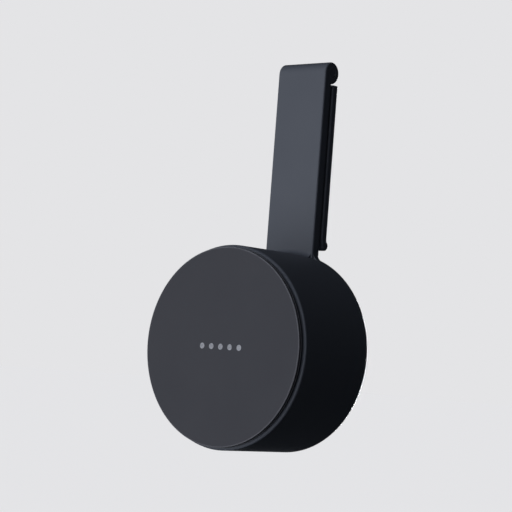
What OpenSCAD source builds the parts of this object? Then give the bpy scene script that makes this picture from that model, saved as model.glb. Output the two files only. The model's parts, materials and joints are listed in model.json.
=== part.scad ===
// Bag clip with a measuring scoop.
// Two flat leaves, hinged under a round hood, pinch the top of a food bag.
// The front leaf grows out of the rim of a round scoop that hangs in front of the bag.
// Origin: centre of the bag slot at its closed top end, where the edge of the bag stops.
// +X to the right, +Y through the bag to the rear leaf, +Z up. Millimetres.

/* [Scoop] */
// Outer diameter of the scoop
cup_d = 90; // [75:1:110]
// Depth of the scoop, from its mouth to the face of its base cap
cup_l = 47; // [38:1:58]
// Wall of the outer shell
shell_wall = 1.6; // [1.2:0.1:2.2]
// Thickness of the shell's floor
floor_t = 1.8; // [1.4:0.1:2.6]
// Wall and floor of the bowl inside the shell
liner_wall = 1.6; // [1.2:0.1:2.2]
// Thickness of the bowl's lip, which covers the end of the shell
lip_t = 1.6; // [1.2:0.1:2.4]
// Radius between the wall and the floor inside the bowl
bowl_r = 5; // [3:0.5:9]
// Number of fill lines, which part the bowl's depth into equal shares
line_count = 3; // [1:1:5]

/* [Base cap] */
// Thickness of the base cap
cap_t = 1.6; // [1.4:0.1:3]
// Width of the shadow gap between the base cap and the shell
cap_gap = 1.5; // [0.6:0.1:2]
// How far the cap's edge stands in from the shell's outside
cap_inset = 1.2; // [0:0.1:1.5]
// Depth of the shadow gap, in from the shell's outside
gap_depth = 3; // [1.5:0.5:6]

/* [Leaves] */
// Width of both leaves
leaf_w = 27.5; // [24:0.5:36]
// Thickness of the front leaf
front_t = 5; // [4.6:0.1:6]
// Thickness of both leaves with the slot between them
clip_t = 10; // [9.6:0.1:11.5]
// Gap between the plastic faces of the two leaves
slot_gap = 1.2; // [1:0.1:2]
// Distance from the hinge axis down to the scoop's axis
drop = 128; // [120:1:150]
// Length of the rear leaf's straight part, below the origin
rear_l = 72; // [66:1:76]
// Front wall of the front leaf
front_skin = 1.8; // [1.5:0.1:2.2]
// Back wall of the rear leaf
rear_skin = 1.4; // [1.2:0.1:1.8]
// Side walls of both leaves
side_wall = 2; // [1.6:0.1:3]
// Radius on the long edges of both leaves
edge_r = 0.8; // [0.4:0.1:1]
// Blend radius from the front leaf's sides into the scoop
side_blend = 4; // [2:0.5:6]
// Blend radius from the front leaf's face into the scoop
face_blend = 2.5; // [2:0.5:8]

/* [Hinge] */
// Diameter of the hinge pin
pin_d = 3; // [2.5:0.1:3.2]
// Radius of the rear leaf's knuckles
knuckle_r = 3.2; // [2.8:0.1:3.3]
// Width of each hinge cheek
cheek_w = 3; // [2.4:0.1:4]
// Width of the window for the spring, between the knuckles
window_w = 10; // [9:0.5:11]
// Diameter of the spring's wire
wire_d = 1; // [0.8:0.1:1]
// Number of whole turns in the spring, besides the last half turn
spring_turns = 7; // [5:1:7]
// Length of each arm of the spring
arm_l = 14; // [8:1:15]

/* [Grip pads] */
// Thickness of the plates that carry the pads
plate_t = 1.6; // [1.4:0.1:1.8]
// Depth of the pad's bed in its plate
bed_t = 0.6; // [0.4:0.1:0.8]
// How far the pads stand out of the leaves
pad_proud = 0.4; // [0.2:0.05:0.45]
// Width of the pads
pad_w = 19; // [14:0.5:20]
// Length of the pads
pad_l = 50; // [40:1:50]
// Pitch of the ribs across the pads
rib_pitch = 2; // [1.5:0.5:4]
// Height of the ribs
rib_h = 0.3; // [0.2:0.05:0.4]

/* [Hidden] */

$fn = 96;
over = 1;            // how far a cut runs past the face it opens
join = 0.2;          // how far two shapes of one piece run into each other

// Clearances
fit_gap = 0.15;      // a piece that drops into its seat
run_gap = 0.2;       // two pieces that turn past each other, end to end
leaf_gap = 0.3;      // the rear leaf's top edge below the hood
lip_play = 0.1;      // the bowl's lip beside the front leaf
head_play = 0.25;    // a screw's head in its pocket
coil_play = 0.1;     // the spring round its sleeve and in its grooves
coil_gap = 0.05;     // between two turns of the spring
bead_gap = 0.2;      // a peg's bead behind the floor that it snaps through
pin_play = 0.05;     // the pin in a part that turns on it
pin_seat = 0.01;     // the pin in the cheeks that hold it
screw_play = 0.1;    // a screw in a part that it passes through
thread_play = 0.02;  // a screw in a part that it bites into

// Leaves, front to back
half_w = leaf_w / 2;
front_in = -slot_gap / 2;
front_face = front_in - front_t;
rear_in = slot_gap / 2;
rear_back = front_face + clip_t;
rear_t = rear_back - rear_in;
foot_inset = edge_r + 0.2;   // the blends at the foot stay on the flat of the leaf's faces

// Hinge: a round hood as thick as the whole clip
hood_r = clip_t / 2;
pocket_r = knuckle_r + run_gap;
pin_r = pin_d / 2;
pin_y = front_face + hood_r;
pin_z = knuckle_r;
cheek_in = half_w - cheek_w;
pin_edge_r = 0.3;
plug_wall = 0.7;           // how far a plug covers the hole round the pin
plug_r = pin_r + plug_wall;
plug_t = 1.2;
plug_seat = 1.4;
plug_edge_r = 0.2;
pin_l = leaf_w - 2 * plug_seat;
leaf_top = hood_r + leaf_gap;   // distance from the hinge axis to the rear leaf's full width
neck_angle = 50;                // back of the rear leaf's neck, up from straight down

// Spring
wire_r = wire_d / 2;
sleeve_wall = 0.45;
sleeve_r = pin_r + sleeve_wall;
coil_r = sleeve_r + coil_play + wire_r;
coil_pitch = wire_d + coil_gap;
coil_l = (spring_turns + 0.5) * coil_pitch;
arm_groove = wire_d + 2 * fit_gap;
arm_bed = coil_r + wire_r + coil_play;   // bottom of each arm's groove, from the hinge axis

// Pads and their plates, alike on both leaves
plate_top = -14;
plate_margin = 3;
pad_top = plate_top - plate_margin;
plate_l = pad_l + 2 * plate_margin;
plate_w = leaf_w - 2 * side_wall - 2 * fit_gap;
screw_step = 21;
screw_z = [for (i = [-1:1]) pad_top - pad_l / 2 + i * screw_step];

// Small countersunk screws that hold the plates
mini_r = 0.85;
mini_head_r = 1.5;
mini_head_t = 0.7;
mini_boss_r = 2.2;
mini_bite = 0.8;     // how far they reach into the leaf's skin

// Lead-in lip at the foot of the rear leaf
lip_r = 4;
lip_angle = 35;
lip_bead = 0.3;      // how much the bead along the lip's end stands out
bead_inset = 0.05;   // the bead's ends stand in from the lip's sides
lip_z = -rear_l;
lip_mid_r = lip_r + rear_t / 2;

// Scoop, measured forward from its mouth
cup_r = cup_d / 2;
cup_z = pin_z - drop;
mouth_y = front_in;
cap_back = cup_l - cap_t;
shell_front = cap_back - cap_gap;
shell_floor = shell_front - floor_t;
shell_boss_h = 1.2;
liner_boss_h = 4;
boss_face = shell_floor - shell_boss_h;
liner_under = boss_face - liner_boss_h;
bowl_floor = liner_under - liner_wall;
liner_gap = 0.3;
liner_r = cup_r - shell_wall - liner_gap;
bowl_in_r = liner_r - liner_wall;
shell_edge_r = 0.8;
cap_edge_r = 0.4;
lip_edge_r = 0.7;
spigot_r = cup_r - gap_depth;

// Screws that pull the bowl into the shell, and pegs that hold the base cap over them
fix_circle_r = 30;
screw_angles = [90, 210, 330];
peg_angles = [30, 150, 270];
screw_r = 1.5;
head_r = 2.75;
head_t = 1.7;
head_pocket = 1.9;
screw_l = 6;
peg_r = 2.4;
peg_bead = 0.25;
peg_past = 1.4;      // how far a peg stands out behind the floor
peg_nose = 0.4;      // plain end of a peg, before its bead
peg_slit = 0.8;
boss_r = 4.5;
liner_boss_r = 4;
screw_seat = cap_back - head_pocket;

// Fill lines
line_arc = 26;
line_h = 0.4;
line_w = 0.8;

// ---- Helpers -----------------------------------------------------------------------------------

// A rectangle about the origin with round corners.
module rounded_rect(w, h, r) {
    square([w - 2 * r, h], center = true);
    square([w, h - 2 * r], center = true);
    for (x = [-1, 1], y = [-1, 1])
        translate([x * (w / 2 - r), y * (h / 2 - r)]) circle(r);
}

// An axle along X of radius r and length w with round edges.
module roller(r, w, edge) {
    rotate([0, 90, 0]) rotate_extrude() intersection() {
        rounded_rect(2 * r, w, edge);
        translate([0, -w]) square([2 * r, 2 * w]);
    }
}

// A cylinder along X from x1 to x2.
module bar(r, x1, x2) {
    translate([x1, 0, 0]) rotate([0, 90, 0]) cylinder(h = x2 - x1, r = r);
}

// A block between two corners.
module block(low, high) {
    translate(low) cube(high - low);
}

// Children in the hinge's own place.
module at_hinge() {
    translate([0, pin_y, pin_z]) children();
}

// Children in the scoop's own frame: z runs forward from the mouth.
module at_cup() {
    translate([0, mouth_y, cup_z]) rotate([90, 0, 0]) children();
}

// Children on the fixing circle, at each angle.
module around(angles) {
    for (a = angles) rotate(a) translate([fix_circle_r, 0, 0]) children();
}

// ---- Scoop shell with the front leaf -----------------------------------------------------------

// Outline of the front leaf's foot, whose sides blend into the scoop's wall.
module foot_outline() {
    blend_x = half_w + side_blend;
    blend_y = sqrt(pow(cup_r + side_blend, 2) - pow(blend_x, 2));
    share = cup_r / (cup_r + side_blend);
    difference() {
        translate([-blend_x * share, blend_y * share])
            square([2 * blend_x * share, blend_y * (1 - share)]);
        for (s = [-1, 1]) translate([s * blend_x, blend_y]) circle(side_blend);
    }
}

// Ring that rounds the corner between the scoop's wall and the front leaf's face.
module face_blend_ring() {
    root = 0.5;
    rotate_extrude() difference() {
        translate([cup_r - root, front_t - root])
            square([face_blend + root, face_blend + root]);
        translate([cup_r + face_blend, front_t + face_blend]) circle(face_blend);
    }
}

// The shell's outside, with a round front edge, and the spigot that carries the base cap.
module shell_body() {
    rotate_extrude() {
        square([cup_r, shell_front - shell_edge_r]);
        square([cup_r - shell_edge_r, shell_front]);
        translate([cup_r - shell_edge_r, shell_front - shell_edge_r]) circle(shell_edge_r);
    }
    cylinder(h = cap_back, r = spigot_r);
}

module leaf_body() {
    translate([0, front_face + front_t / 2, cup_z])
        linear_extrude(height = pin_z - cup_z) rounded_rect(leaf_w, front_t, edge_r);
    at_hinge() roller(hood_r, leaf_w, edge_r);
    at_cup() {
        translate([0, 0, foot_inset]) linear_extrude(height = front_t - 2 * foot_inset)
            foot_outline();
        intersection() {
            face_blend_ring();
            block([foot_inset - half_w, 0, 0],
                  [half_w - foot_inset, cup_r + 2 * face_blend, front_t + face_blend + over]);
        }
    }
}

// Everything that is cut out of the scoop: the bed of the bowl and the fixings in the floor.
module scoop_cuts() {
    at_cup() {
        translate([0, 0, -over]) cylinder(h = lip_t + over, r = cup_r + lip_play);
        difference() {
            translate([0, 0, -over]) cylinder(h = shell_floor + over, r = cup_r - shell_wall);
            around(screw_angles) translate([0, 0, boss_face]) cylinder(h = floor_t, r = boss_r);
        }
        around(screw_angles) {
            translate([0, 0, boss_face - over])
                cylinder(h = cup_l, r = screw_r + screw_play);
            translate([0, 0, screw_seat])
                cylinder(h = head_pocket + over, r = head_r + head_play);
        }
        around(peg_angles)
            translate([0, 0, shell_floor - over]) cylinder(h = cup_l, r = peg_r + screw_play);
    }
}

// The hinge pocket under the hood, open to the back and below, with its pin holes.
module hinge_cuts() {
    at_hinge() {
        bar(pocket_r, -cheek_in, cheek_in);
        block([-cheek_in, 0, -hood_r - over], [cheek_in, hood_r + over, 0]);
        bar(pin_r + pin_seat, -leaf_w, leaf_w);
        for (s = [-1, 1])
            translate([s * (half_w - plug_seat / 2 + over / 2), 0, 0])
                bar(plug_r + pin_play, -(plug_seat + over) / 2, (plug_seat + over) / 2);
        translate([-coil_l / 2, 0, 0])
            block([-arm_groove / 2, -arm_bed, -arm_l - over], [arm_groove / 2, over, 0]);
    }
}

// The hollow of the front leaf, with bosses for the plate's screws.
module front_leaf_cuts() {
    floor_y = front_face + front_skin;
    difference() {
        block([-half_w + side_wall, floor_y, plate_top - plate_l - fit_gap],
              [half_w - side_wall, front_in + over, plate_top + fit_gap]);
        for (z = screw_z)
            translate([0, front_in - plate_t, z]) rotate([90, 0, 0]) cylinder(h = front_t, r = mini_boss_r);
    }
    for (z = screw_z)
        translate([0, front_in, z]) rotate([90, 0, 0])
            cylinder(h = front_t - front_skin + mini_bite, r = mini_r + thread_play);
}

module cup_shell() {
    color("#3d4047") difference() {
        union() {
            at_cup() shell_body();
            leaf_body();
        }
        scoop_cuts();
        hinge_cuts();
        front_leaf_cuts();
    }
}

// ---- Bowl, base cap and their fixings ----------------------------------------------------------

// Cross-section of the bowl: lip, wall, round corner and floor.
module bowl_section() {
    corner_x = bowl_in_r - bowl_r;
    corner_y = bowl_floor - bowl_r;
    difference() {
        union() {
            translate([bowl_in_r, lip_edge_r]) square([liner_wall, corner_y - lip_edge_r]);
            translate([0, bowl_floor]) square([corner_x, liner_wall]);
            translate([corner_x, corner_y]) circle(bowl_r + liner_wall);
            translate([bowl_in_r + lip_edge_r, 0])
                square([cup_r - bowl_in_r - 2 * lip_edge_r, lip_t]);
            translate([bowl_in_r, lip_edge_r]) square([cup_r - bowl_in_r, lip_t - lip_edge_r]);
            for (r = [bowl_in_r + lip_edge_r, cup_r - lip_edge_r])
                translate([r, lip_edge_r]) circle(lip_edge_r);
        }
        translate([corner_x, corner_y]) circle(bowl_r);
        translate([-over, -over]) square([corner_x + over, bowl_floor + over]);
        translate([-over, -over]) square([bowl_in_r + over, corner_y + over]);
    }
}

module cup_liner() {
    line_step = bowl_floor / (line_count + 1);
    color("#34363b") at_cup() difference() {
        union() {
            rotate_extrude() bowl_section();
            around(screw_angles)
                translate([0, 0, liner_under - liner_wall / 2])
                    cylinder(h = liner_boss_h + liner_wall / 2, r = liner_boss_r);
            for (i = [1:line_count])
                translate([0, 0, bowl_floor - i * line_step - line_w / 2])
                    rotate(-90 - line_arc / 2)
                        rotate_extrude(angle = line_arc)
                            translate([bowl_in_r - line_h, 0]) square([line_h + join, line_w]);
        }
        around(screw_angles)
            translate([0, 0, screw_seat - screw_l - fit_gap])
                cylinder(h = screw_l, r = screw_r + thread_play);
    }
}

// One peg of the base cap: it snaps through the floor and is slit so that it can spring.
module cap_peg() {
    reach = cap_back - shell_floor + peg_past;
    root = 1.5;
    difference() {
        union() {
            cylinder(h = reach + join, r = peg_r);
            translate([0, 0, peg_nose])
                cylinder(h = peg_past - bead_gap - peg_nose, r1 = peg_r, r2 = peg_r + peg_bead);
        }
        translate([-peg_slit / 2, -2 * peg_r, -over])
            cube([peg_slit, 4 * peg_r, reach + over - root]);
    }
}

module base_cap() {
    cap_r = cup_r - cap_inset;
    color("#3a3b3f") at_cup() {
        translate([0, 0, cap_back]) rotate_extrude() {
            square([cap_r - cap_edge_r, cap_t]);
            square([cap_r, cap_t - cap_edge_r]);
            translate([cap_r - cap_edge_r, cap_t - cap_edge_r]) circle(cap_edge_r);
        }
        around(peg_angles) translate([0, 0, shell_floor - peg_past]) cap_peg();
    }
}

module liner_screws() {
    recess_w = 0.6;
    recess_l = 2.6;
    color("silver") at_cup() around(screw_angles) difference() {
        union() {
            translate([0, 0, screw_seat - screw_l]) cylinder(h = screw_l + join, r = screw_r);
            translate([0, 0, screw_seat]) cylinder(h = head_t, r = head_r);
        }
        for (a = [0, 90])
            rotate(a) translate([-recess_l / 2, -recess_w / 2, screw_seat + head_t / 2])
                cube([recess_l, recess_w, head_t]);
    }
}

// ---- Grip pads, their plates and screws: the same on both leaves --------------------------------
// All are drawn for a leaf face at y = 0 that looks along +Y.

module pad_plate() {
    difference() {
        block([-plate_w / 2, -plate_t, plate_top - plate_l], [plate_w / 2, 0, plate_top]);
        block([-pad_w / 2 - fit_gap, -bed_t, pad_top - pad_l - fit_gap],
              [pad_w / 2 + fit_gap, over, pad_top + fit_gap]);
        for (z = screw_z) translate([0, -bed_t, z]) rotate([90, 0, 0]) {
            translate([0, 0, -over]) cylinder(h = plate_t + 2 * over, r = mini_r + screw_play);
            cylinder(h = mini_head_t, r1 = mini_head_r + screw_play, r2 = mini_r + screw_play);
        }
    }
}

// Screws long enough to bite into a skin that lies depth behind the leaf's face.
module plate_screws(depth) {
    slot_w = 0.4;
    slot_h = 0.35;
    tip_gap = 0.1;
    for (z = screw_z) translate([0, -bed_t, z]) rotate([90, 0, 0]) difference() {
        union() {
            translate([0, 0, join]) cylinder(h = depth + mini_bite - bed_t - tip_gap - join, r = mini_r);
            cylinder(h = mini_head_t, r1 = mini_head_r, r2 = mini_r);
        }
        translate([-slot_w / 2, -mini_head_r, -over]) cube([slot_w, 2 * mini_head_r, over + slot_h]);
    }
}

module grip_pad() {
    face = pad_proud - rib_h;
    ribs = floor(pad_l / rib_pitch);
    rib_w = rib_pitch / 2;
    side = [for (i = [0:ribs - 1]) let (z = pad_top - (i + 0.5) * rib_pitch)
        each [[face, z + rib_w / 2], [pad_proud, z + rib_w / 4],
              [pad_proud, z - rib_w / 4], [face, z - rib_w / 2]]];
    rotate([90, 0, 90]) linear_extrude(height = pad_w, center = true)
        polygon([[-bed_t, pad_top], [face, pad_top], each side,
                 [face, pad_top - pad_l], [-bed_t, pad_top - pad_l]]);
}

// Children drawn for the leaf face at y = 0 looking along +Y, put on each leaf.
module on_front_leaf() {
    translate([0, front_in, 0]) children();
}

module on_rear_leaf() {
    translate([0, rear_in, 0]) mirror([0, 1, 0]) children();
}

module front_pad_plate() {
    color("#2c2d30") on_front_leaf() pad_plate();
}

module front_plate_screws() {
    color("silver") on_front_leaf() plate_screws(front_t - front_skin);
}

module front_grip_pad() {
    color("#4b4e54") on_front_leaf() grip_pad();
}

module rear_pad_plate() {
    color("#2c2d30") on_rear_leaf() pad_plate();
}

module rear_plate_screws() {
    color("silver") on_rear_leaf() plate_screws(rear_t - rear_skin);
}

module rear_grip_pad() {
    color("#4b4e54") on_rear_leaf() grip_pad();
}

// ---- Hinge -------------------------------------------------------------------------------------

module hinge_pin() {
    color("silver") at_hinge() roller(pin_r, pin_l, pin_edge_r);
}

module pin_plugs() {
    color("#3d4047") at_hinge()
        for (s = [-1, 1])
            translate([s * (pin_l / 2 + pin_play + plug_t / 2), 0, 0])
                roller(plug_r, plug_t, plug_edge_r);
}

module spring_sleeve() {
    color("ivory") at_hinge() difference() {
        bar(sleeve_r, -window_w / 2 + run_gap, window_w / 2 - run_gap);
        bar(pin_r + pin_play, -window_w, window_w);
    }
}

// Points along the spring's wire: down-arm, coil over the pin, down-arm.
// Each is [x, angle about the pin, distance below the pin's height].
coil_steps = 20;
coil_turn = 360 * spring_turns + 180;
coil_rings = coil_steps * (spring_turns + 0.5);
wire_path = [
    [-coil_l / 2, 180, arm_l],
    for (i = [0:coil_rings])
        [-coil_l / 2 + coil_l * i / coil_rings, 180 - coil_turn * i / coil_rings, 0],
    [coil_l / 2, 180 - coil_turn, arm_l]
];

// A tube of the wire's radius along wire_path.
module torsion_spring() {
    sides = 8;
    rings = len(wire_path);
    points = [for (p = wire_path, k = [0:sides - 1])
        let (a = 360 * k / sides, r = coil_r + wire_r * cos(a))
            [p[0] + wire_r * sin(a), r * cos(p[1]), r * sin(p[1]) - p[2]]];
    walls = [for (i = [0:rings - 2], k = [0:sides - 1])
        let (n = (k + 1) % sides, a = i * sides, b = a + sides)
            each [[a + k, b + k, b + n], [a + k, b + n, a + n]]];
    first = [for (k = [0:sides - 1]) k];
    last = [for (k = [sides - 1:-1:0]) (rings - 1) * sides + k];
    color("silver") at_hinge() polyhedron(points = points, faces = [first, each walls, last]);
}

// ---- Rear leaf ---------------------------------------------------------------------------------

// Neck between the knuckles and the leaf, seen from the side about the hinge axis.
module neck_outline() {
    inner = rear_in - pin_y;
    outer = rear_back - pin_y;
    foot = leaf_top + over;
    reach = knuckle_r - join / 2;
    polygon([[inner, -foot], [outer - edge_r, -foot], [outer - edge_r, -leaf_top],
             [reach * sin(neck_angle), -reach * cos(neck_angle)],
             [0, -reach / 2], [inner, -knuckle_r]]);
}

module rear_leaf_body() {
    foot_z = lip_z;
    top_z = pin_z - leaf_top;
    translate([0, rear_in + rear_t / 2, foot_z])
        linear_extrude(height = top_z - foot_z) rounded_rect(leaf_w, rear_t, edge_r);
    translate([0, rear_back + lip_r, lip_z]) rotate([0, 90, 0]) rotate([0, 0, -90]) {
        rotate_extrude(angle = lip_angle)
            translate([lip_mid_r, 0]) rounded_rect(rear_t, leaf_w, edge_r);
        rotate([0, 0, lip_angle]) translate([lip_mid_r, 0, 0])
            rotate([0, -90, 0]) roller(rear_t / 2 + lip_bead, leaf_w - 2 * bead_inset, edge_r);
    }
    at_hinge() {
        rotate([90, 0, 90])
            linear_extrude(height = 2 * (cheek_in - run_gap), center = true) neck_outline();
        bar(knuckle_r, -cheek_in + run_gap, cheek_in - run_gap);
    }
}

module rear_leaf_cuts() {
    floor_y = rear_back - rear_skin;
    difference() {
        block([-half_w + side_wall, rear_in - over, plate_top - plate_l - fit_gap],
              [half_w - side_wall, floor_y, plate_top + fit_gap]);
        for (z = screw_z)
            translate([0, rear_in + plate_t, z]) rotate([-90, 0, 0]) cylinder(h = rear_t, r = mini_boss_r);
    }
    for (z = screw_z)
        translate([0, rear_in, z]) rotate([-90, 0, 0])
            cylinder(h = rear_t - rear_skin + mini_bite, r = mini_r + thread_play);
    at_hinge() {
        bar(pin_r + pin_play, -leaf_w, leaf_w);
        bar(pocket_r, -window_w / 2, window_w / 2);
        translate([coil_l / 2, 0, 0])
            block([-arm_groove / 2, -over, -arm_l - over], [arm_groove / 2, arm_bed, 0]);
    }
}

module rear_leaf() {
    color("#3d4047") difference() {
        rear_leaf_body();
        rear_leaf_cuts();
    }
}

// ---- Pieces, one at a time or all together ------------------------------------------------------

cup_shell();
cup_liner();
base_cap();
liner_screws();
front_pad_plate();
front_plate_screws();
front_grip_pad();
hinge_pin();
pin_plugs();
torsion_spring();
spring_sleeve();
rear_leaf();
rear_pad_plate();
rear_plate_screws();
rear_grip_pad();
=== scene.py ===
import json
import math

import bmesh
import bpy
from mathutils import Matrix, Vector


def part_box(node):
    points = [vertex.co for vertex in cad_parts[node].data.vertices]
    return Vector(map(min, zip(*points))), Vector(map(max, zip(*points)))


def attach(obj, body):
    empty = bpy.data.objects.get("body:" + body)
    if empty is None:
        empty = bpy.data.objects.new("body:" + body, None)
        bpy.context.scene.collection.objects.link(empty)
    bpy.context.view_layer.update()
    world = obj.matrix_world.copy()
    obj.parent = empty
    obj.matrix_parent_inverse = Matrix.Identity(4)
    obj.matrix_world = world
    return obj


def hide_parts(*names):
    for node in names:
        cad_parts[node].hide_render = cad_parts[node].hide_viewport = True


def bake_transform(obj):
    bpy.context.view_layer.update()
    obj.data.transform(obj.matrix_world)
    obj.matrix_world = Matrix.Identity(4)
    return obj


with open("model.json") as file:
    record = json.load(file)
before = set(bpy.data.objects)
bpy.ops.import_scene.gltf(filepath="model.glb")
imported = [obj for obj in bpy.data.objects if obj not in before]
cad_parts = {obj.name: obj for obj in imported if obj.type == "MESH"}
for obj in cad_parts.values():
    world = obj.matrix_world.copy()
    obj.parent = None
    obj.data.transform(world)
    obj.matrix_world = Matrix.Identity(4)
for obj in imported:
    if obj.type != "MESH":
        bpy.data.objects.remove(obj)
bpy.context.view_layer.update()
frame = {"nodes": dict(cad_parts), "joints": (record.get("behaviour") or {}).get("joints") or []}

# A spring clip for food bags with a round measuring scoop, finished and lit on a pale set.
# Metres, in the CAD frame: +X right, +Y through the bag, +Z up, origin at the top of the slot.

nodes = frame["nodes"]
scene = bpy.context.scene
MM = 0.001


# ---- Colour and node helpers ---------------------------------------------------------------------

def srgb(hex_code):
    """Linear colour from an sRGB hex value."""
    parts = [int(hex_code[i:i + 2], 16) / 255 for i in (1, 3, 5)]
    linear = [c / 12.92 if c <= 0.04045 else ((c + 0.055) / 1.055) ** 2.4 for c in parts]
    return (*linear, 1.0)


def per_metre(size_mm):
    """Texture scale that gives features of this size."""
    return 1000.0 / size_mm


def add(tree, kind, inputs, **settings):
    """Adds a node with its settings. An input is a plain value, or an output to link it to."""
    node = tree.nodes.new(kind)
    for name, value in settings.items():
        setattr(node, name, value)
    for name, value in inputs.items():
        if isinstance(value, bpy.types.NodeSocket):
            tree.links.new(value, node.inputs[name])
        else:
            node.inputs[name].default_value = value
    return node


def material_tree(name):
    """A new material's name and empty node tree, with the place on the piece, in metres."""
    material = bpy.data.materials.new(name)
    material.use_nodes = True
    tree = material.node_tree
    tree.nodes.clear()
    place = add(tree, "ShaderNodeTexCoord", {}).outputs["Object"]
    return material, tree, place


# ---- Materials -----------------------------------------------------------------------------------

def spark_eroded_abs(name, dark, light, rubbed_and_highlight, roughness, specular):
    """ABS from a spark-eroded mould: an even matt grain that spreads highlights wide and soft."""
    edge_band_depth = 0.55 * MM
    edge_polish = 0.12
    material, tree, place = material_tree(name)
    # The real grain is about 0.2 mm across; it is drawn at twice that so that it shows.
    grain = add(tree, "ShaderNodeTexNoise", {
        "Vector": place, "Scale": per_metre(0.4), "Detail": 3.0, "Roughness": 0.6})
    # Slow change in tone where the melt cooled, and in gloss where hands have held it.
    flow = add(tree, "ShaderNodeTexNoise", {"Vector": place, "Scale": per_metre(60.0), "Detail": 1.0})
    held = add(tree, "ShaderNodeTexNoise", {"Vector": place, "Scale": per_metre(22.0), "Detail": 3.0})
    # Rays sent inwards soon leave near an edge: that finds the edges, which are painted paler and made
    # glossier. The paler colour is partly wear from hands and partly a painted highlight, standing in for
    # the light that the rounded edges catch.
    inwards = add(tree, "ShaderNodeAmbientOcclusion", {"Distance": edge_band_depth},
                  samples=12, inside=True, only_local=True)
    edges = add(tree, "ShaderNodeMapRange", {
        "Value": inwards.outputs["AO"], "From Min": 0.95, "From Max": 0.7})
    tone = add(tree, "ShaderNodeMix", {
        "Factor": flow.outputs["Fac"], "A": srgb(dark), "B": srgb(light)}, data_type="RGBA")
    # Painted highlight mixed with wear: the edge colour is laid over the tone along every edge.
    worn_and_highlit = add(tree, "ShaderNodeMix", {
        "Factor": edges.outputs["Result"], "A": tone.outputs["Result"], "B": srgb(rubbed_and_highlight)},
        data_type="RGBA")
    gloss = add(tree, "ShaderNodeMapRange", {
        "Value": held.outputs["Fac"], "From Min": 0.3, "From Max": 0.7,
        "To Min": roughness - 0.02, "To Max": roughness + 0.03})
    polish = add(tree, "ShaderNodeMath", {
        0: edges.outputs["Result"], 1: -edge_polish, 2: gloss.outputs["Result"]}, operation="MULTIPLY_ADD")
    relief = add(tree, "ShaderNodeBump", {
        "Height": grain.outputs["Fac"], "Distance": 0.02 * MM, "Strength": 0.5})
    shader = add(tree, "ShaderNodeBsdfPrincipled", {
        "Base Color": worn_and_highlit.outputs["Result"],
        "Roughness": polish.outputs["Value"],
        "Normal": relief.outputs["Normal"],
        "IOR": 1.53,
        "Specular IOR Level": specular})
    add(tree, "ShaderNodeOutputMaterial", {"Surface": shader.outputs["BSDF"]})
    return material


def polished_polypropylene():
    """Polypropylene from a polished mould: waxy and smoother than the shell, with drag marks."""
    material, tree, place = material_tree("polished_polypropylene")
    # Drag marks run along the way that the bowl leaves its mould.
    along = add(tree, "ShaderNodeMapping", {"Vector": place, "Scale": (1.0, 0.06, 1.0)})
    drag = add(tree, "ShaderNodeTexNoise", {
        "Vector": along.outputs["Vector"], "Scale": per_metre(1.2), "Detail": 3.0})
    cloud = add(tree, "ShaderNodeTexNoise", {"Vector": place, "Scale": per_metre(25.0), "Detail": 2.0})
    tone = add(tree, "ShaderNodeMix", {
        "Factor": cloud.outputs["Fac"], "A": srgb("#404247"), "B": srgb("#46484e")}, data_type="RGBA")
    gloss = add(tree, "ShaderNodeMapRange", {
        "Value": drag.outputs["Fac"], "From Min": 0.3, "From Max": 0.7,
        "To Min": 0.3, "To Max": 0.4})
    relief = add(tree, "ShaderNodeBump", {
        "Height": drag.outputs["Fac"], "Distance": 0.02 * MM, "Strength": 0.4})
    shader = add(tree, "ShaderNodeBsdfPrincipled", {
        "Base Color": tone.outputs["Result"],
        "Roughness": gloss.outputs["Result"],
        "Normal": relief.outputs["Normal"],
        "IOR": 1.49})
    add(tree, "ShaderNodeOutputMaterial", {"Surface": shader.outputs["BSDF"]})
    return material


def moulded_silicone():
    """Silicone rubber: soft and dull, with a broad pale sheen and dust caught on it."""
    material, tree, place = material_tree("moulded_silicone")
    dust = add(tree, "ShaderNodeTexNoise", {
        "Vector": place, "Scale": per_metre(2.2), "Detail": 5.0, "Roughness": 0.7})
    pores = add(tree, "ShaderNodeTexNoise", {"Vector": place, "Scale": per_metre(0.5), "Detail": 2.0})
    dusty = add(tree, "ShaderNodeMapRange", {
        "Value": dust.outputs["Fac"], "From Min": 0.5, "From Max": 0.8})
    tone = add(tree, "ShaderNodeMix", {
        "Factor": dusty.outputs["Result"], "A": srgb("#4b4e54"), "B": srgb("#62656b")},
        data_type="RGBA")
    gloss = add(tree, "ShaderNodeMapRange", {
        "Value": dust.outputs["Fac"], "From Min": 0.3, "From Max": 0.7,
        "To Min": 0.6, "To Max": 0.75})
    relief = add(tree, "ShaderNodeBump", {
        "Height": pores.outputs["Fac"], "Distance": 0.04 * MM, "Strength": 0.5})
    shader = add(tree, "ShaderNodeBsdfPrincipled", {
        "Base Color": tone.outputs["Result"],
        "Roughness": gloss.outputs["Result"],
        "Normal": relief.outputs["Normal"],
        "IOR": 1.41,
        "Sheen Weight": 0.15})
    add(tree, "ShaderNodeOutputMaterial", {"Surface": shader.outputs["BSDF"]})
    return material


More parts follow.
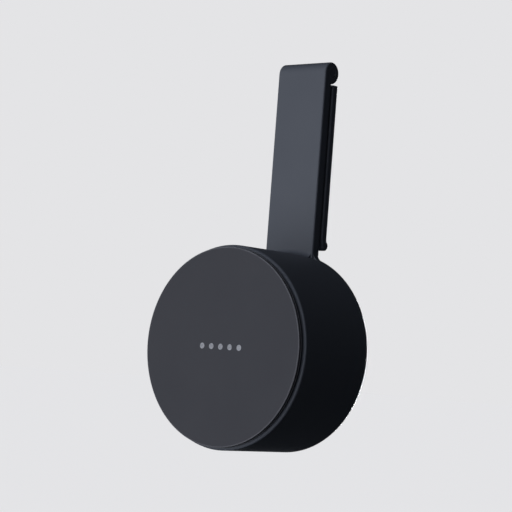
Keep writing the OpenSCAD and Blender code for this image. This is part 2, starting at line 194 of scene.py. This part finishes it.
def glass_filled_nylon():
    """Near-black nylon with short glass fibre: a dry face with faint lighter flecks."""
    material, tree, place = material_tree("glass_filled_nylon")
    # The fibres lie along the plate, the way that the melt ran.
    along = add(tree, "ShaderNodeMapping", {"Vector": place, "Scale": (1.0, 1.0, 0.3)})
    fibres = add(tree, "ShaderNodeTexNoise", {
        "Vector": along.outputs["Vector"], "Scale": per_metre(0.45), "Detail": 2.0})
    flecks = add(tree, "ShaderNodeMapRange", {
        "Value": fibres.outputs["Fac"], "From Min": 0.55, "From Max": 0.75})
    tone = add(tree, "ShaderNodeMix", {
        "Factor": flecks.outputs["Result"], "A": srgb("#222326"), "B": srgb("#34363a")},
        data_type="RGBA")
    gloss = add(tree, "ShaderNodeMapRange", {
        "Value": fibres.outputs["Fac"], "From Min": 0.3, "From Max": 0.7,
        "To Min": 0.5, "To Max": 0.62})
    relief = add(tree, "ShaderNodeBump", {
        "Height": fibres.outputs["Fac"], "Distance": 0.03 * MM, "Strength": 0.5})
    shader = add(tree, "ShaderNodeBsdfPrincipled", {
        "Base Color": tone.outputs["Result"],
        "Roughness": gloss.outputs["Result"],
        "Normal": relief.outputs["Normal"],
        "IOR": 1.53})
    add(tree, "ShaderNodeOutputMaterial", {"Surface": shader.outputs["BSDF"]})
    return material


def worked_steel(name, dark, light, line_mm, stretch, roughness):
    """Steel ground or drawn one way: fine lines along it, which pull highlights across."""
    material, tree, place = material_tree(name)
    along = add(tree, "ShaderNodeMapping", {"Vector": place, "Scale": stretch})
    lines = add(tree, "ShaderNodeTexNoise", {
        "Vector": along.outputs["Vector"], "Scale": per_metre(line_mm), "Detail": 3.0})
    stain = add(tree, "ShaderNodeTexNoise", {"Vector": place, "Scale": per_metre(3.0), "Detail": 3.0})
    tone = add(tree, "ShaderNodeMix", {
        "Factor": stain.outputs["Fac"], "A": srgb(dark), "B": srgb(light)}, data_type="RGBA")
    gloss = add(tree, "ShaderNodeMapRange", {
        "Value": lines.outputs["Fac"], "From Min": 0.3, "From Max": 0.7,
        "To Min": roughness - 0.05, "To Max": roughness + 0.08})
    relief = add(tree, "ShaderNodeBump", {
        "Height": lines.outputs["Fac"], "Distance": 0.01 * MM, "Strength": 0.4})
    shader = add(tree, "ShaderNodeBsdfPrincipled", {
        "Base Color": tone.outputs["Result"],
        "Roughness": gloss.outputs["Result"],
        "Normal": relief.outputs["Normal"],
        "Metallic": 1.0})
    add(tree, "ShaderNodeOutputMaterial", {"Surface": shader.outputs["BSDF"]})
    return material


def zinc_plated_steel():
    """Zinc plating: a soft grey metal, bluish in places and duller where the coat lies thick."""
    material, tree, place = material_tree("zinc_plated_steel")
    crystals = add(tree, "ShaderNodeTexVoronoi", {"Vector": place, "Scale": per_metre(0.5)})
    coat = add(tree, "ShaderNodeTexNoise", {"Vector": place, "Scale": per_metre(1.5), "Detail": 3.0})
    tone = add(tree, "ShaderNodeMix", {
        "Factor": coat.outputs["Fac"], "A": srgb("#a4aab2"), "B": srgb("#c2c3c2")}, data_type="RGBA")
    gloss = add(tree, "ShaderNodeMapRange", {
        "Value": coat.outputs["Fac"], "From Min": 0.3, "From Max": 0.7,
        "To Min": 0.28, "To Max": 0.42})
    relief = add(tree, "ShaderNodeBump", {
        "Height": crystals.outputs["Distance"], "Distance": 0.01 * MM, "Strength": 0.3})
    shader = add(tree, "ShaderNodeBsdfPrincipled", {
        "Base Color": tone.outputs["Result"],
        "Roughness": gloss.outputs["Result"],
        "Normal": relief.outputs["Normal"],
        "Metallic": 1.0})
    add(tree, "ShaderNodeOutputMaterial", {"Surface": shader.outputs["BSDF"]})
    return material


def natural_acetal():
    """Uncoloured acetal: milky and waxy, with a little light passing into it."""
    material, tree, place = material_tree("natural_acetal")
    cloud = add(tree, "ShaderNodeTexNoise", {"Vector": place, "Scale": per_metre(1.5), "Detail": 2.0})
    tone = add(tree, "ShaderNodeMix", {
        "Factor": cloud.outputs["Fac"], "A": srgb("#ddd8cc"), "B": srgb("#e8e4da")}, data_type="RGBA")
    gloss = add(tree, "ShaderNodeMapRange", {
        "Value": cloud.outputs["Fac"], "From Min": 0.3, "From Max": 0.7,
        "To Min": 0.32, "To Max": 0.4})
    relief = add(tree, "ShaderNodeBump", {
        "Height": cloud.outputs["Fac"], "Distance": 0.01 * MM, "Strength": 0.3})
    shader = add(tree, "ShaderNodeBsdfPrincipled", {
        "Base Color": tone.outputs["Result"],
        "Roughness": gloss.outputs["Result"],
        "Normal": relief.outputs["Normal"],
        "IOR": 1.48,
        "Subsurface Weight": 0.1,
        "Subsurface Scale": 0.5 * MM})
    add(tree, "ShaderNodeOutputMaterial", {"Surface": shader.outputs["BSDF"]})
    return material


def pad_printed_ink():
    """Pad-printed ink: a thin dull film that covers the grain below a little unevenly."""
    material, tree, place = material_tree("pad_printed_ink")
    cover = add(tree, "ShaderNodeTexNoise", {
        "Vector": place, "Scale": per_metre(0.6), "Detail": 3.0, "Roughness": 0.6})
    thin = add(tree, "ShaderNodeMapRange", {
        "Value": cover.outputs["Fac"], "From Min": 0.35, "From Max": 0.6})
    tone = add(tree, "ShaderNodeMix", {
        "Factor": thin.outputs["Result"], "A": srgb("#85878c"), "B": srgb("#a2a4a9")},
        data_type="RGBA")
    gloss = add(tree, "ShaderNodeMapRange", {
        "Value": cover.outputs["Fac"], "From Min": 0.3, "From Max": 0.7,
        "To Min": 0.55, "To Max": 0.65})
    relief = add(tree, "ShaderNodeBump", {
        "Height": cover.outputs["Fac"], "Distance": 0.02 * MM, "Strength": 0.4})
    shader = add(tree, "ShaderNodeBsdfPrincipled", {
        "Base Color": tone.outputs["Result"],
        "Roughness": gloss.outputs["Result"],
        "Normal": relief.outputs["Normal"]})
    add(tree, "ShaderNodeOutputMaterial", {"Surface": shader.outputs["BSDF"]})
    return material


def dress(material, *pieces):
    """Gives pieces, or the CAD nodes of these names, their material."""
    for piece in pieces:
        piece = nodes[piece] if isinstance(piece, str) else piece
        piece.data.materials.clear()
        piece.data.materials.append(material)


# Edge colour on the shell: a faint paler band, partly wear and partly painted highlight.
shell_abs = spark_eroded_abs("satin_slate_abs", dark="#484d55", light="#4a4f58", rubbed_and_highlight="#5a5f68",
                             roughness=0.62, specular=0.4)
# The cap's pale rim colour is mostly a painted highlight, the thin light line along its rounded rim, with
# a little wear.
cap_abs = spark_eroded_abs("matt_graphite_abs", dark="#3d3e43", light="#3f4045", rubbed_and_highlight="#94969c",
                           roughness=0.72, specular=0.25)
pin_steel = worked_steel("ground_stainless", dark="#b4b3af", light="#c4c3bf", line_mm=0.3,
                         stretch=(1.0, 0.1, 0.1), roughness=0.25)
spring_wire = worked_steel("drawn_spring_wire", dark="#a3a29e", light="#b9b8b4", line_mm=0.25,
                           stretch=(1.0, 1.0, 0.2), roughness=0.3)

dress(shell_abs, "cup_shell", "rear_leaf", "pin_plugs")
dress(cap_abs, "base_cap")
dress(polished_polypropylene(), "cup_liner")
dress(moulded_silicone(), "front_grip_pad", "rear_grip_pad")
dress(glass_filled_nylon(), "front_pad_plate", "rear_pad_plate")
dress(pin_steel, "hinge_pin")
dress(zinc_plated_steel(), "liner_screws", "front_plate_screws", "rear_plate_screws")
dress(natural_acetal(), "spring_sleeve")


# ---- Pieces made here ----------------------------------------------------------------------------

def piece_from(name, fill_mesh, material):
    """A new piece whose mesh the given function fills in, shaded smooth."""
    mesh = bpy.data.meshes.new(name)
    made = bmesh.new()
    fill_mesh(made)
    bmesh.ops.recalc_face_normals(made, faces=made.faces)
    made.to_mesh(mesh)
    made.free()
    mesh.shade_smooth()
    piece = bpy.data.objects.new(name, mesh)
    scene.collection.objects.link(piece)
    dress(material, piece)
    return piece


def tube(made, path, radius, sides):
    """A closed tube along a path, square to it at every point."""
    rings = []
    for i, point in enumerate(path):
        ahead = path[min(i + 1, len(path) - 1)] - path[max(i - 1, 0)]
        turn = ahead.to_track_quat("Z", "X")
        ring = []
        for side in range(sides):
            angle = 2 * math.pi * side / sides
            outwards = turn @ Vector((math.cos(angle), math.sin(angle), 0))
            ring.append(made.verts.new(point + outwards * radius))
        rings.append(ring)
    for first, second in zip(rings, rings[1:]):
        for side in range(sides):
            following = (side + 1) % sides
            made.faces.new((first[side], second[side], second[following], first[following]))
    made.faces.new(rings[0])
    made.faces.new(rings[-1][::-1])


hinge = Vector(frame["joints"][0]["pos_m"])
wire_r = 0.5 * MM
turn_gap = 0.05 * MM
spring_low, spring_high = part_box("torsion_spring")


def spring_coil(made):
    """The torsion spring: an arm, a close coil round the pin and the other arm."""
    coil_r = spring_high.z - hinge.z - wire_r
    half_l = spring_high.x - wire_r
    turns = int(2 * half_l / (2 * wire_r + turn_gap)) + 0.5
    arm_l = hinge.z - spring_low.z
    arm_steps = 12
    turn_steps = 28
    wire_sides = 12
    path = []
    for i in range(arm_steps):
        path.append(hinge + Vector((-half_l, -coil_r, -arm_l * (1 - i / arm_steps))))
    count = int(turn_steps * turns)
    for i in range(count + 1):
        angle = math.pi - 2 * math.pi * turns * i / count
        across = -half_l + 2 * half_l * i / count
        path.append(hinge + Vector((across, coil_r * math.cos(angle), coil_r * math.sin(angle))))
    for i in range(1, arm_steps + 1):
        path.append(hinge + Vector((half_l, coil_r, -arm_l * i / arm_steps)))
    tube(made, path, wire_r, wire_sides)


# The coil lies between its arms: on the clip one arm bears on the scoop and the other on the rear leaf.
# This piece stays where it is made and follows neither body.
spring = piece_from("spring_coil", spring_coil, spring_wire)
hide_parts("torsion_spring")
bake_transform(spring)

cap_low, cap_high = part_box("base_cap")


def row_of_dots(made):
    """A row of five plain round dots on the base cap's face, as thick as ink."""
    dot_r = 1.3 * MM
    pitch = 5.3 * MM
    film = 0.02 * MM
    sides = 48
    for place in (-2, -1, 0, 1, 2):
        middle = Vector((place * pitch, cap_low.y, (cap_low.z + cap_high.z) / 2))
        angles = [2 * math.pi * side / sides for side in range(sides)]
        ring = [middle + Vector((dot_r * math.cos(angle), 0, dot_r * math.sin(angle)))
                for angle in angles]
        back = [made.verts.new(point) for point in ring]
        front = [made.verts.new(point - Vector((0, film, 0))) for point in ring]
        for side in range(sides):
            following = (side + 1) % sides
            made.faces.new((back[side], back[following], front[following], front[side]))
        made.faces.new(front)
        made.faces.new(back[::-1])


mark = piece_from("printed_dots", row_of_dots, pad_printed_ink())
mark.data.shade_flat()
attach(mark, "scoop")


# ---- Set, light and camera -----------------------------------------------------------------------

def pale_floor():
    """Painted studio floor: even and dull, with a faint roller stipple."""
    # The paint glows as pale as the backdrop, so that no line shows where the two meet.
    glow = 0.952
    material, tree, place = material_tree("matt_floor_paint")
    stipple = add(tree, "ShaderNodeTexNoise", {"Vector": place, "Scale": per_metre(6.0), "Detail": 4.0})
    tone = add(tree, "ShaderNodeMix", {
        "Factor": stipple.outputs["Fac"], "A": srgb("#6c6c6d"), "B": srgb("#717172")},
        data_type="RGBA")
    relief = add(tree, "ShaderNodeBump", {
        "Height": stipple.outputs["Fac"], "Distance": 0.1 * MM, "Strength": 0.2})
    shader = add(tree, "ShaderNodeBsdfPrincipled", {
        "Base Color": tone.outputs["Result"],
        "Roughness": 0.9,
        "Normal": relief.outputs["Normal"],
        "Specular IOR Level": 0.0,
        "Emission Color": srgb("#e4e4e6"),
        "Emission Strength": glow})
    # Clear from below, so that the clip can be seen from there too.
    underside = add(tree, "ShaderNodeNewGeometry", {}).outputs["Backfacing"]
    clear = add(tree, "ShaderNodeBsdfTransparent", {})
    seen = add(tree, "ShaderNodeMixShader", {
        "Fac": underside, 1: shader.outputs["BSDF"], 2: clear.outputs["BSDF"]})
    add(tree, "ShaderNodeOutputMaterial", {"Surface": seen.outputs["Shader"]})
    half = 30.0
    height = -0.34
    mesh = bpy.data.meshes.new("floor")
    mesh.from_pydata([(-half, -half, height), (half, -half, height),
                      (half, half, height), (-half, half, height)], [], [(0, 1, 2, 3)])
    mesh.materials.append(material)
    floor = bpy.data.objects.new("floor", mesh)
    scene.collection.objects.link(floor)
    # The floor is there to be seen; it throws no light or shade on the clip.
    floor.visible_diffuse = False
    floor.visible_glossy = False
    floor.visible_shadow = False


def soft_sun(name, towards_light, strength, spread_deg, colour):
    """A wide, soft light from one direction."""
    data = bpy.data.lights.new(name, "SUN")
    data.energy = strength
    data.angle = math.radians(spread_deg)
    data.color = srgb(colour)[:3]
    light = bpy.data.objects.new(name, data)
    light.rotation_mode = "QUATERNION"
    light.rotation_quaternion = Vector(towards_light).to_track_quat("Z", "Y")
    scene.collection.objects.link(light)


def studio_world():
    """A pale backdrop to look at, and a dim fill on the clip from in front and above."""
    front_and_above = (0.0, -0.8, 0.6)
    fill_strength = 0.26
    world = bpy.data.worlds.new("studio")
    world.use_nodes = True
    tree = world.node_tree
    tree.nodes.clear()
    backdrop = add(tree, "ShaderNodeBackground", {"Color": srgb("#e4e4e6"), "Strength": 1.0})
    direction = add(tree, "ShaderNodeTexCoord", {}).outputs["Generated"]
    facing = add(tree, "ShaderNodeVectorMath", {0: direction, 1: front_and_above},
                 operation="DOT_PRODUCT")
    frontal = add(tree, "ShaderNodeMapRange", {
        "Value": facing.outputs["Value"], "From Min": 0.0, "From Max": 1.0,
        "To Min": 0.0, "To Max": fill_strength})
    fill = add(tree, "ShaderNodeBackground", {
        "Color": srgb("#eef2ff"), "Strength": frontal.outputs["Result"]})
    seen = add(tree, "ShaderNodeLightPath", {}).outputs["Is Camera Ray"]
    mixed = add(tree, "ShaderNodeMixShader", {
        "Fac": seen, 1: fill.outputs["Background"], 2: backdrop.outputs["Background"]})
    add(tree, "ShaderNodeOutputWorld", {"Surface": mixed.outputs["Shader"]})
    scene.world = world


def aim_camera():
    """Camera to the right of the clip's front, a little below its middle, tilted a few degrees."""
    azimuth = math.radians(40.24)
    elevation = math.radians(-3.69)
    roll = math.radians(4.33)
    distance = 0.829
    middle = Vector((-0.0042, -0.0233, -0.0828))
    back = Vector((math.sin(azimuth) * math.cos(elevation),
                   -math.cos(azimuth) * math.cos(elevation), math.sin(elevation)))
    data = bpy.data.cameras.new("camera")
    data.lens = 130.0
    data.sensor_width = 36.0
    data.clip_start = 0.05
    data.clip_end = 100.0
    camera = bpy.data.objects.new("camera", data)
    camera.rotation_mode = "QUATERNION"
    level = back.to_track_quat("Z", "Y")
    camera.rotation_quaternion = level @ Matrix.Rotation(roll, 4, "Z").to_quaternion()
    camera.location = middle + back * distance
    scene.collection.objects.link(camera)
    scene.camera = camera


pale_floor()
studio_world()
# The key stands in front and to the left, so that the cup's right side stays dark.
soft_sun("key", towards_light=(-0.34, -0.94, -0.03), strength=2.15, spread_deg=80, colour="#f6f8ff")
# The second light stands behind and to the left, and shows the rear leaf and the bowl.
soft_sun("back_fill", towards_light=(-0.35, 0.93, 0.0), strength=3.2, spread_deg=20, colour="#f4f8ff")
aim_camera()
scene.view_settings.view_transform = "Standard"
